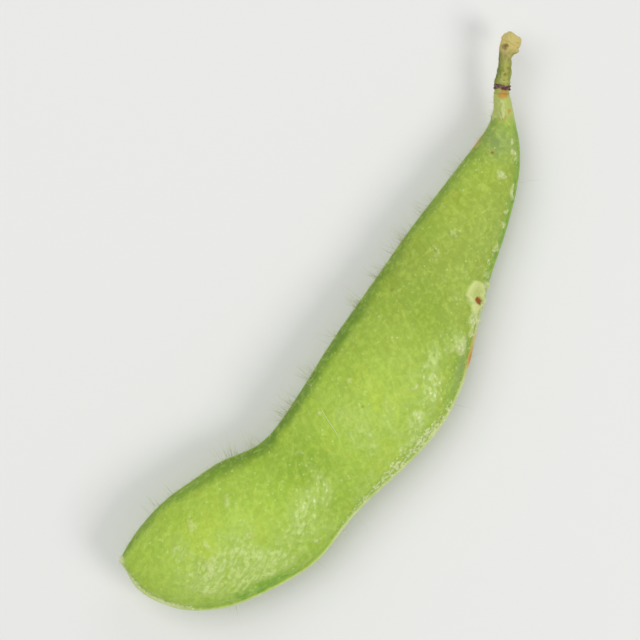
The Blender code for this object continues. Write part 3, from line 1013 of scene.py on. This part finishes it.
def stalkMesh():
    line, radii = lineAt(np.linspace(0.35, len(stalk["line"]) - 1, stalk["rows"]))
    angle = np.linspace(0, 2 * math.pi, stalk["around"], endpoint=False)
    length = np.linspace(0, 1, stalk["rows"])
    rows = [sweptRows(line, stalkRadii(radii, length[:, None], angle), angle)]
    heading = (line[-1] - line[-4]) / np.linalg.norm(line[-1] - line[-4])
    for share, out in stalk["cutFace"]:
        crumble = 0.05 * patchNoise(angle * 2, np.full_like(angle, share * 8), 0.5, 33)
        ring = line[-1] + (rows[0][-1] - line[-1]) * share + heading * (out + crumble)[:, None]
        rows.append(ring[None])
    mesh = meshFromRows("stalkStub", np.concatenate(rows), line[0] - heading * 0.1,
                        line[-1] + heading * 0.01)
    along = np.concatenate([length, np.full(len(stalk["cutFace"]), 1.0)])
    face = np.concatenate([np.zeros(stalk["rows"]), np.linspace(0.4, 1, len(stalk["cutFace"]))])
    for name, values in (("along", along), ("cutFace", face)):
        storeRows(mesh, name, np.repeat(values, stalk["around"]), values[0], values[-1])
    for name, values in (("turnX", np.cos(angle)), ("turnY", np.sin(angle))):
        storeRows(mesh, name, np.tile(values, len(along)))
    storeRows(mesh, "spots", spotsOver(along, angle))
    # painted shade along the stalk's sides, most on its upper one
    edge = np.clip(1.5 * bell(angle, math.pi - 0.1, 0.8), 0, 1) + 0.35 * bell(angle, 0.1, 0.6)
    storeRows(mesh, "edge", np.clip(edge, 0, 1)[None] * (1 - knobShare(along))[:, None])
    return mesh


def ringMesh():
    line, _ = lineAt(np.array([0.0, 0.02]))
    heading = (line[1] - line[0]) / np.linalg.norm(line[1] - line[0])
    offset = np.linspace(-0.5, 0.5, scarRing["rows"])[:, None] * scarRing["length"]
    angle = np.linspace(0, 2 * math.pi, scarRing["around"], endpoint=False)
    turnX, turnY = np.cos(angle[None]) * 2.1 + 9, np.sin(angle[None]) * 2.1 + 9
    wander = 0.09 * patchNoise(turnX, turnY, 1.0, 41) + 0.04 * patchNoise(turnX, turnY, 0.4, 44)
    away = offset + wander
    taper = 0.90 - 0.12 * bell(offset, 0.36, 0.09) - 0.10 * bell(offset, -0.42, 0.12)
    lips = 0.07 * bell(away, -0.17, 0.08) + 0.07 * bell(away, 0.16, 0.08) - 0.05 * bell(away, 0, 0.06)
    cracks = 0.03 * patchNoise(turnX * 2, turnY * 2 + offset * 5, 0.5, 42)
    path = line[0] + offset * heading
    rows = sweptRows(path, scarRing["radius"] * taper + cracks + lips, angle)
    mesh = meshFromRows("calyxScar", rows, path[0], path[-1])
    bands = smoothStep(0.19, 0.07, np.abs(away + 0.13)) + smoothStep(0.19, 0.07, np.abs(away - 0.13))
    patchy = 0.62 + 0.65 * patchNoise(turnX, turnY + offset * 4, 0.6, 43)
    storeRows(mesh, "scar", np.clip(bands * patchy, 0, 1))
    storeRows(mesh, "scarMiddle", smoothStep(0.30, 0.20, np.abs(away)))
    storeRows(mesh, "blotch", bell(offset, -0.52, 0.30) * bell(angle[None] + wander, 1.30, 0.50))
    return mesh


stalkColours = {
    "green": (0.400, 0.420, 0.080),
    "shade": (0.120, 0.175, 0.030),
    "tan": (0.660, 0.530, 0.190),
    "sheen": (0.620, 0.620, 0.260),
    "pink": (0.460, 0.300, 0.150),
    "pith": (0.720, 0.590, 0.250),
    "scar": (0.100, 0.045, 0.042),
    "spot": (0.190, 0.075, 0.025),
    "neck": (0.450, 0.480, 0.140),
    "middle": (0.230, 0.130, 0.105),
    "orange": skinColours["orange"],
}
stalkSpots = [  # share along, turn round in radians, reach in mm, strength
    (0.20, 1.45, 0.20, 0.9), (0.27, 1.75, 0.14, 0.7), (0.32, 1.15, 0.17, 0.8), (0.13, 1.9, 0.10, 0.6),
    (0.70, 2.05, 0.26, 1.0), (0.735, 1.90, 0.20, 1.0), (0.45, 4.4, 0.2, 0.7), (0.60, 3.9, 0.12, 0.6),
    (0.50, 1.0, 0.13, 0.5), (0.62, 1.3, 0.10, 0.5), (0.40, 2.2, 0.10, 0.5),
]


def stalkFinish():
    material, tree, shader = newFinish("stalkFinish", Subsurface_Weight=0.08,
                                       Subsurface_Scale=0.0004, IOR=1.40)
    parts = useGroup(tree, tissue, Blotch_Size=0.9, Grain_Size=0.12, Grain_Depth=0.055)
    along = meshValue(tree, "along")
    mottle = calc(tree, "MULTIPLY", calc(tree, "SUBTRACT", parts["Blotch"], 0.5), 0.35)
    fibres = noise(tree, combine(tree, masked(tree, "turnX", 1.6), masked(tree, "turnY", 1.6),
                                 calc(tree, "MULTIPLY", along, 5.0)), 1.3, detail=3)
    blush = calc(tree, "MULTIPLY", remap(tree, parts["Blotch"], 0.42, 0.62, 0, 0.7),
                 remap(tree, along, 0.35, 0.62))
    colour = layered(tree, stalkColours["green"], [
        (meshValue(tree, "edge"), "shade"),
        (remap(tree, fibres, 0.52, 0.32, 0, 0.7), "shade"),
        (remap(tree, fibres, 0.52, 0.72, 0, 0.8), "sheen"),
        (blush, "pink"),
        (remap(tree, calc(tree, "ADD", along, mottle), 0.55, 0.80), "tan"),
        (masked(tree, "spots", remap(tree, parts["Grain"], 0.30, 0.60, 0.5, 1)), "spot"),
        (meshValue(tree, "cutFace"), "pith"),
        (remap(tree, parts["Cells"], 0.1, 0.7, 0, 0.35), "green"),
    ], stalkColours)
    feed(tree, shader.inputs["Base Color"], colour)
    feed(tree, shader.inputs["Roughness"], remap(tree, parts["Grain"], 0.2, 0.8, 0.45, 0.75))
    feed(tree, shader.inputs["Normal"], parts["Normal"])
    return material


def scarFinish():
    material, tree, shader = newFinish("calyxScarFinish", IOR=1.40)
    parts = useGroup(tree, tissue, Blotch_Size=0.6, Grain_Size=0.10, Grain_Depth=0.05)
    dark = calc(tree, "MULTIPLY_ADD", calc(tree, "SUBTRACT", parts["Grain"], 0.5), 0.5,
                meshValue(tree, "scar"))
    colour = layered(tree, stalkColours["neck"], [
        (remap(tree, parts["Blotch"], 0.35, 0.65), "green"),
        (remap(tree, meshValue(tree, "blotch"), 0.15, 0.7, 0, 0.8), "orange"),
        (meshValue(tree, "scarMiddle"), "middle"),
        (remap(tree, dark, 0.15, 0.75), "scar"),
    ], stalkColours)
    feed(tree, shader.inputs["Base Color"], colour)
    feed(tree, shader.inputs["Roughness"], remap(tree, parts["Grain"], 0.2, 0.8, 0.55, 0.85))
    feed(tree, shader.inputs["Normal"], parts["Normal"])
    return material


def woodyPiece(mesh, material):
    facesOut(mesh)
    placeInFrame(mesh)
    mesh.materials.append(material)
    return pieceFromMesh(mesh)


stalkStub = woodyPiece(stalkMesh(), stalkFinish())
calyxScar = woodyPiece(ringMesh(), scarFinish())
print("stalk and scar ring built")


# Down, spread over the skin by masks kept on it.
def keptValues(mesh, name):
    values = np.zeros(len(mesh.vertices), np.float32)
    mesh.attributes[name].data.foreach_get("value", values)
    return values


def downMasks(mesh):
    x, y, inner, outer = (keptValues(mesh, name)
                          for name in ("planeX", "planeY", "fromInner", "fromOuter"))
    clear = smoothStep(0.9, 1.8, np.float32(cornersOf(mesh)[:, 2]) / mm)  # none close to the table
    clumps = smoothStep(-0.35, 0.55, patchNoise(x, y * 0, 1.3, 51))
    seam = bell(inner, 0, 0.35) * clumps * (0.25 + bell(x, 31, 15)) * smoothStep(2, 8, x)
    seam = seam + 0.04 * bell(outer, 0, 0.3) * smoothStep(-0.2, 0.6, patchNoise(x, y * 0, 1.1, 52))
    fuzz = 0.03 + 0.55 * bell(inner, 0, 1.2) + 0.10 * bell(outer, 0, 0.8)
    fuzz = fuzz * smoothStep(-0.8, 0.6, patchNoise(x, y, 2.2, 53)) * smoothStep(0.5, 2, x)
    storeValues(mesh, "longDown", seam * clear * smoothStep(61, 58, x))
    storeValues(mesh, "shortDown", fuzz * clear)
    storeValues(mesh, "fuzz", smoothStep(0.55, 0.15, inner) * smoothStep(63, 61, x)
                + 0.25 * smoothStep(0.5, 0.15, outer) * smoothStep(36, 44, x))


longDown = {
    "Mask": "longDown", "Per Square Metre": 2.2e7, "Shortest": 0.8 * mm, "Longest": 2.6 * mm,
    "Thickness": 0.013, "Most Lean": 0.75, "Seed": 11,
}
shortDown = {
    "Mask": "shortDown", "Per Square Metre": 2.8e6, "Shortest": 0.35 * mm, "Longest": 1.0 * mm,
    "Thickness": 0.017, "Most Lean": 1.1, "Seed": 12,
}
seamFuzz = {
    "Mask": "fuzz", "Per Square Metre": 1.2e7, "Shortest": 0.18 * mm, "Longest": 0.50 * mm,
    "Thickness": 0.030, "Most Lean": 0.7, "Seed": 13,
}
downColours = [(0.55, 0.57, 0.36), (0.74, 0.75, 0.57)]
hairBends = [0.05, 0.22, 0.40]  # how far the tips lean over, as a share of the length


def hairShapes(tree, thickness):  # one tapering tube for each bend, as instances to pick from
    profile = addNode(tree, "GeometryNodeCurvePrimitiveCircle", {"Resolution": 3, "Radius": thickness})
    taper = remap(tree, addNode(tree, "GeometryNodeSplineParameter").outputs["Factor"], 0, 1, 1, 0.15)
    shapes = addNode(tree, "GeometryNodeJoinGeometry")
    for bend in hairBends:
        arc = addNode(tree, "GeometryNodeCurveQuadraticBezier", {
            "Resolution": 4, "Start": (0, 0, -0.02), "Middle": (0, 0, 0.55),
            "End": (0, bend, 1 - bend * bend / 2)})
        tube = addNode(tree, "GeometryNodeCurveToMesh", {
            "Curve": arc.outputs[0], "Profile Curve": profile.outputs[0], "Scale": taper,
            "Fill Caps": True})
        alone = addNode(tree, "GeometryNodeGeometryToInstance", {0: tube.outputs[0]})
        feed(tree, shapes.inputs[0], alone.outputs[0])
    return shapes.outputs[0]


def downTree():
    tree, given = newTree("downOverSkin", [
        ("Mask", "String"), ("Per Square Metre", "Float"), ("Shortest", "Float"), ("Longest", "Float"),
        ("Thickness", "Float"), ("Most Lean", "Float"), ("Seed", "Int"), ("Material", "Material")])
    density = calc(tree, "MULTIPLY", readValue(tree, given["Mask"]), given["Per Square Metre"])
    roots = addNode(tree, "GeometryNodeDistributePointsOnFaces", {
        "Mesh": given["Geometry"], "Density": density, "Seed": given["Seed"],
    }, distribute_method="RANDOM")
    lean = addNode(tree, "FunctionNodeRandomValue", {
        "Max": combine(tree, given["Most Lean"], 0.0, 2 * math.pi),
        "Seed": calc(tree, "ADD", given["Seed"], 1),
    }, data_type="FLOAT_VECTOR")
    turn = addNode(tree, "FunctionNodeEulerToRotation", {0: lean.outputs[0]})
    turned = addNode(tree, "FunctionNodeRotateRotation", {
        "Rotation": roots.outputs["Rotation"], "Rotate By": turn.outputs[0],
    }, rotation_space="LOCAL")
    pick = addNode(tree, "FunctionNodeRandomValue", {5: len(hairBends) - 1}, data_type="INT")
    size = addNode(tree, "FunctionNodeRandomValue", {
        2: given["Shortest"], 3: given["Longest"], "Seed": calc(tree, "ADD", given["Seed"], 2),
    }, data_type="FLOAT")
    spread = addNode(tree, "GeometryNodeInstanceOnPoints", {
        "Points": roots.outputs["Points"], "Instance": hairShapes(tree, given["Thickness"]),
        "Pick Instance": True, "Instance Index": pick.outputs[2], "Rotation": turned.outputs[0],
        "Scale": size.outputs[1]})
    endTree(tree, spread.outputs[0], given["Material"])
    return tree


def hairFinish(name, darker, lighter):
    material, tree, shader = newFinish(name, Subsurface_Weight=0.1, Subsurface_Scale=0.0002, IOR=1.45)
    tone = noise(tree, inMillimetres(tree), 0.8, detail=1)
    colour = mixColours(tree, remap(tree, tone, 0.3, 0.7), darker, lighter)
    feed(tree, shader.inputs["Base Color"], colour)
    feed(tree, shader.inputs["Roughness"], remap(tree, tone, 0.3, 0.7, 0.35, 0.55))
    return material


# One hair lies stuck across the middle bean.
strayHair = {
    "points": [(25.55, -5.55), (25.35, -6.2), (25.10, -7.0), (24.85, -7.8), (24.62, -8.5), (24.45, -9.0)],
    "radius": 0.035,
    "lift": -0.012,
    "colours": [(0.62, 0.72, 0.32), (0.72, 0.80, 0.44)],
    "rows": 40,
    "around": 6,
}


def strayHairMesh():
    surface = BVHTree.FromPolygons([vert.co for vert in reliefMesh.vertices],
                                   [face.vertices for face in reliefMesh.polygons])
    places = np.arange(len(strayHair["points"]))
    wanted = np.linspace(0, places[-1], strayHair["rows"])
    plane = np.stack([smoothThrough(places, [point[k] for point in strayHair["points"]], wanted)
                      for k in (0, 1)], -1) * mm + planeCorner
    line = np.array([surface.ray_cast(Vector((*point, 0.02)), Vector((0, 0, -1)))[0] for point in plane])
    line[:, 2] = smoothRun(line[:, 2], 5) + (strayHair["radius"] + strayHair["lift"]) * mm
    radii = strayHair["radius"] * mm * (1 - 0.6 * np.linspace(-1, 1, strayHair["rows"]) ** 4)
    angle = np.linspace(0, 2 * math.pi, strayHair["around"], endpoint=False)
    rows = sweptRows(line, radii[:, None] * np.ones_like(angle), angle)
    mesh = meshFromRows("strayHair", rows, line[0] * 1.5 - line[1] * 0.5, line[-1] * 1.5 - line[-2] * 0.5)
    facesOut(mesh)
    mesh.materials.append(hairFinish("strayHairFinish", *strayHair["colours"]))
    return mesh


def smoothRun(values, width):
    padded = np.pad(values, width, mode="edge")
    return np.convolve(padded, np.ones(2 * width + 1) / (2 * width + 1), mode="valid")


downMasks(reliefMesh)
downMaterial = hairFinish("downFinish", *downColours)
hairTree = downTree()
downPieces = [
    pieceFromMesh(offTable(grown(name, reliefMesh, hairTree, {**values, "Material": downMaterial})))
    for name, values in (("seamDown", longDown), ("skinDown", shortDown), ("seamFuzz", seamFuzz))
]
downPieces.append(pieceFromMesh(strayHairMesh()))
print("down:", ", ".join(f"{piece.name} {len(piece.data.polygons)}" for piece in downPieces))


studio = {
    "floorSize": 6.0,
    "floorColour": (0.80, 0.80, 0.79),
    "skyColour": (0.93, 0.95, 0.96),
    "skyStrength": 0.42,
    "lens": 120,
    "heading": (0.6386, 0.7695),  # how the pod's length lies in the render: right, up
    "margin": 1.10,
    "lamps": [  # name, place in metres from the pod, size, power in watts, colour
        ("overhead", (-0.05, 0.22, 0.45), 0.45, 1.2, (1.0, 0.99, 0.97)),
        ("outerSide", (0.08, -0.36, 0.36), 0.20, 0.95, (1.0, 0.985, 0.96)),
        ("stalkSide", (0.45, 0.15, 0.25), 0.30, 0.35, (0.97, 0.99, 1.0)),
    ],
}


def makeFloor():
    half = studio["floorSize"] / 2
    mesh = bpy.data.meshes.new("floor")
    mesh.from_pydata([(-half, -half, 0), (half, -half, 0), (half, half, 0), (-half, half, 0)],
                     [], [(0, 1, 2, 3)])
    material, _, shader = newFinish("floorPaint", Roughness=0.55, IOR=1.35)
    shader.inputs["Base Color"].default_value = (*studio["floorColour"], 1.0)
    mesh.materials.append(material)
    pieceFromMesh(mesh)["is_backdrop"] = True


def makeLights():
    world = bpy.data.worlds.new("studio")
    world.use_nodes = True
    background = world.node_tree.nodes["Background"]
    background.inputs["Color"].default_value = (*studio["skyColour"], 1.0)
    background.inputs["Strength"].default_value = studio["skyStrength"]
    bpy.context.scene.world = world
    for name, place, size, power, colour in studio["lamps"]:
        light = bpy.data.lights.new(name, "AREA")
        light.size = size
        light.energy = power
        light.color = colour
        lamp = bpy.data.objects.new(name, light)
        lamp.location = place
        lamp.rotation_euler = (-Vector(place)).to_track_quat("-Z", "Y").to_euler()
        bpy.context.scene.collection.objects.link(lamp)


def makeCamera():
    c, s = studio["heading"]
    right = Vector((c, -s, 0)).normalized()
    upward = Vector((s, c, 0)).normalized()
    corners = np.vstack([cornersOf(podSkin.data), np.array(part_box("stalk"))])
    spans = [corners @ np.array(way) for way in (right, upward)]
    reach = max(np.ptp(span) for span in spans) / 2
    data = bpy.data.cameras.new("camera")
    data.lens = studio["lens"]
    distance = reach * studio["margin"] / (data.sensor_width / 2 / data.lens)
    camera = bpy.data.objects.new("camera", data)
    middles = [(span.min() + span.max()) / 2 for span in spans]
    centre = right * middles[0] + upward * middles[1]
    place = centre + Vector((0, 0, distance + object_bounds()[1].z / 2))
    turn = Matrix((right, upward, (0, 0, 1))).transposed().to_4x4()
    camera.matrix_world = Matrix.Translation(place) @ turn
    data.clip_start = 0.01
    bpy.context.scene.collection.objects.link(camera)
    bpy.context.scene.camera = camera


makeFloor()
makeLights()
makeCamera()
bpy.context.scene.view_settings.view_transform = "Standard"
print("studio ready")

for piece in (podSkin, calyxScar, stalkStub, *downPieces):
    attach(piece, "root")
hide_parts("pod")
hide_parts("calyx_ring")
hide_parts("stalk")

print("pieces placed")
